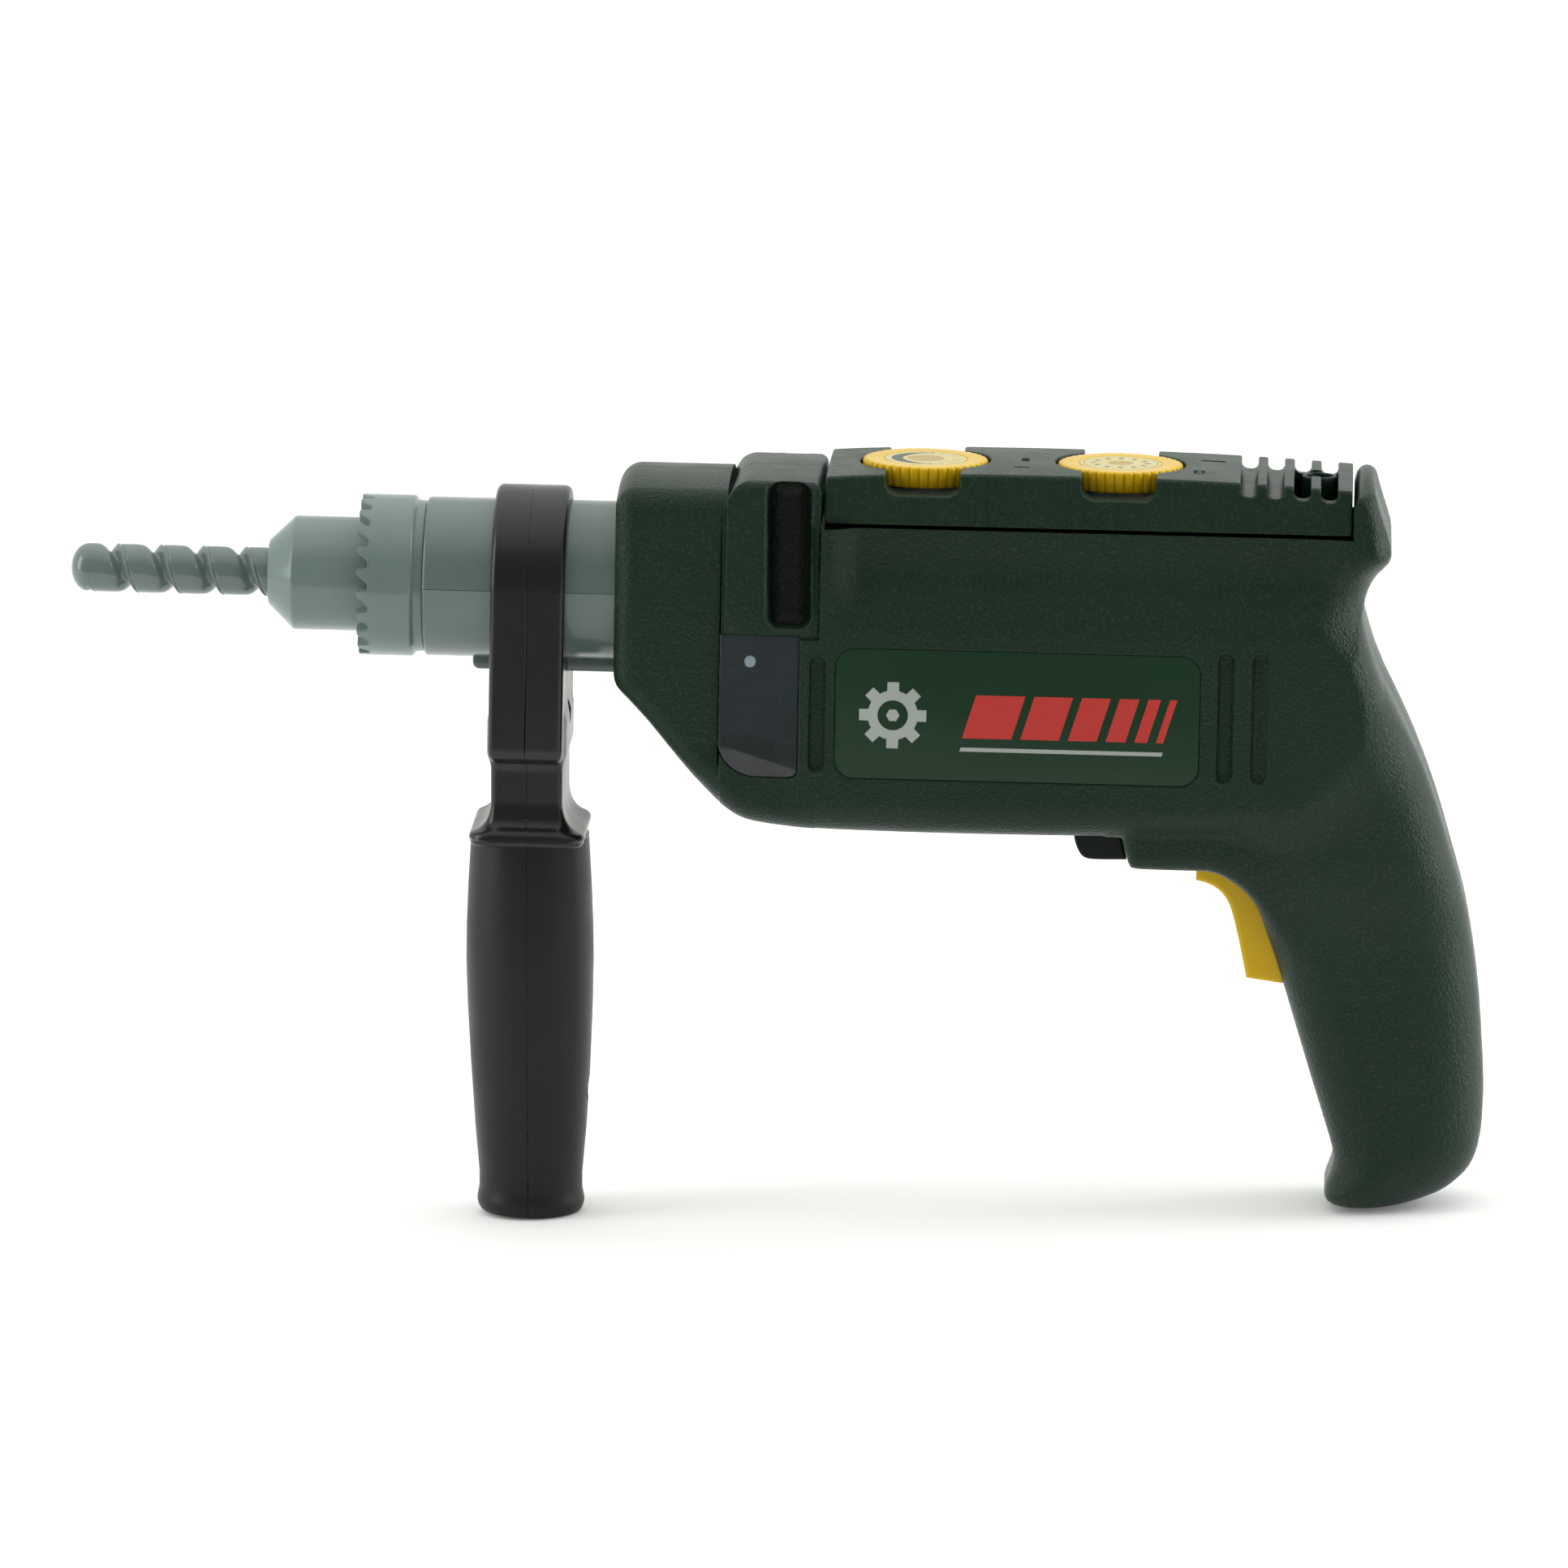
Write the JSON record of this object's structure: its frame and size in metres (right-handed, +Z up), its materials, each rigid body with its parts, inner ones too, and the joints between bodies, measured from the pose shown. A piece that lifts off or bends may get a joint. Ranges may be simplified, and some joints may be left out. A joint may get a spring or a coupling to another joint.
{
  "type": "toy power drill",
  "caption": "Battery toy power drill: pistol-grip body, turning chuck with spiral bit, trigger, direction slider, two top dials and a slide-off side handle.",
  "frame": {"origin": "bottom centre of the whole object: under the middle of its box, at the height of the side handle foot", "axes": "-X along the bit towards its tip, +X to the butt, -Y the left side with the lamp window, +Z up"},
  "size_m": [0.32, 0.049, 0.1746],
  "materials": {
    "green_shell": "fine spark-eroded moulded ABS, dark green",
    "yellow": "glossy yellow moulded plastic",
    "grey_chuck": "semi-gloss grey moulded plastic",
    "black_handle": "black moulded plastic, satin",
    "sticker_face": "printed paper sticker",
    "label_face": "printed green label",
    "smoked": "smoked clear plastic",
    "lamp_white": "white diffusing lamp",
    "steel": "bright steel",
    "zinc_screw": "zinc-plated screws",
    "brass": "sintered brass",
    "gear_white": "natural acetal",
    "frame_black": "black ABS",
    "copper": "copper winding on steel core",
    "magnet": "ferrite",
    "cell_jacket": "plain printed sleeve",
    "board_green": "solder resist",
    "wire_red": "PVC lead"
  },
  "bodies": {
    "drill_body": {"left_housing": "green_shell", "right_housing": "green_shell", "housing_screws": "zinc_screw", "top_cover": "green_shell", "cover_screw": "zinc_screw", "gear_window": "smoked", "lamp": "lamp_white", "left_label": "label_face", "right_label": "label_face", "collar_upper": "grey_chuck", "collar_lower": "grey_chuck", "front_bush": "brass", "rear_bush": "brass", "idler_axle": "steel", "motor_magnets": "magnet", "motor_can": "steel", "motor_end_cap": "gear_white", "gearbox_front_plate": "frame_black", "gearbox_rear_plate": "frame_black", "gearbox_screws": "zinc_screw", "trigger_pin": "steel", "trigger_spring": "steel", "trigger_switch": "frame_black", "direction_contact": "frame_black", "battery_tray": "frame_black", "battery_cells": "cell_jacket", "battery_contacts": "steel", "circuit_board": "board_green", "speaker": "frame_black", "wiring": "wire_red"},
    "chuck": {"chuck_ring": "grey_chuck", "chuck_nose": "grey_chuck", "drill_bit": "grey_chuck", "spindle_shaft": "steel", "output_gear": "gear_white"},
    "idler": {"idler_gear": "gear_white"},
    "rotor": {"motor_pinion": "brass", "motor_shaft": "steel", "motor_armature": "copper"},
    "front_dial": {"front_dial": "yellow", "front_dial_sticker": "sticker_face"},
    "rear_dial": {"rear_dial": "yellow", "rear_dial_sticker": "sticker_face"},
    "side_handle": {"side_handle_front": "black_handle", "side_handle_rear": "black_handle", "handle_screws": "zinc_screw"},
    "trigger": {"trigger": "yellow"},
    "direction_switch": {"direction_switch": "black_handle"}
  },
  "joints": [
    {"name": "chuck_spin", "type": "hinge", "parent": "drill_body", "child": "chuck", "pos_m": [-0.09, 0, 0.145], "axis": [1, 0, 0], "continuous": true},
    {"name": "idler_spin", "type": "hinge", "parent": "drill_body", "child": "idler", "pos_m": [-0.004, 0, 0.1242], "axis": [1, 0, 0], "continuous": true},
    {"name": "rotor_spin", "type": "hinge", "parent": "drill_body", "child": "rotor", "pos_m": [0.015, 0, 0.1074], "axis": [1, 0, 0], "continuous": true},
    {"name": "front_dial_turn", "type": "hinge", "parent": "drill_body", "child": "front_dial", "pos_m": [0.0315, 0, 0.172], "axis": [0, 0, 1], "range_deg": [-140, 140]},
    {"name": "rear_dial_turn", "type": "hinge", "parent": "drill_body", "child": "rear_dial", "pos_m": [0.0751, 0, 0.172], "axis": [0, 0, 1], "continuous": true},
    {"name": "trigger_press", "type": "hinge", "parent": "drill_body", "child": "trigger", "pos_m": [0.099, 0, 0.088], "axis": [0, -1, 0], "range_deg": [0, 11], "stiffness_Nm_per_rad": 0.12, "springref_deg": -8.59, "deforming": ["trigger_spring"]},
    {"name": "direction_slide", "type": "slide", "parent": "drill_body", "child": "direction_switch", "axis": [0, 1, 0], "range_m": [-0.0025, 0.0025]},
    {"name": "side_handle_slide", "type": "slide", "parent": "drill_body", "child": "side_handle", "axis": [-1, 0, 0], "range_m": [-0.0095, 0.115]}
  ],
  "couplings": [
    {"joint": "idler_spin", "follows": "chuck_spin", "ratio": -3.3333},
    {"joint": "rotor_spin", "follows": "chuck_spin", "ratio": 10.667}
  ]
}
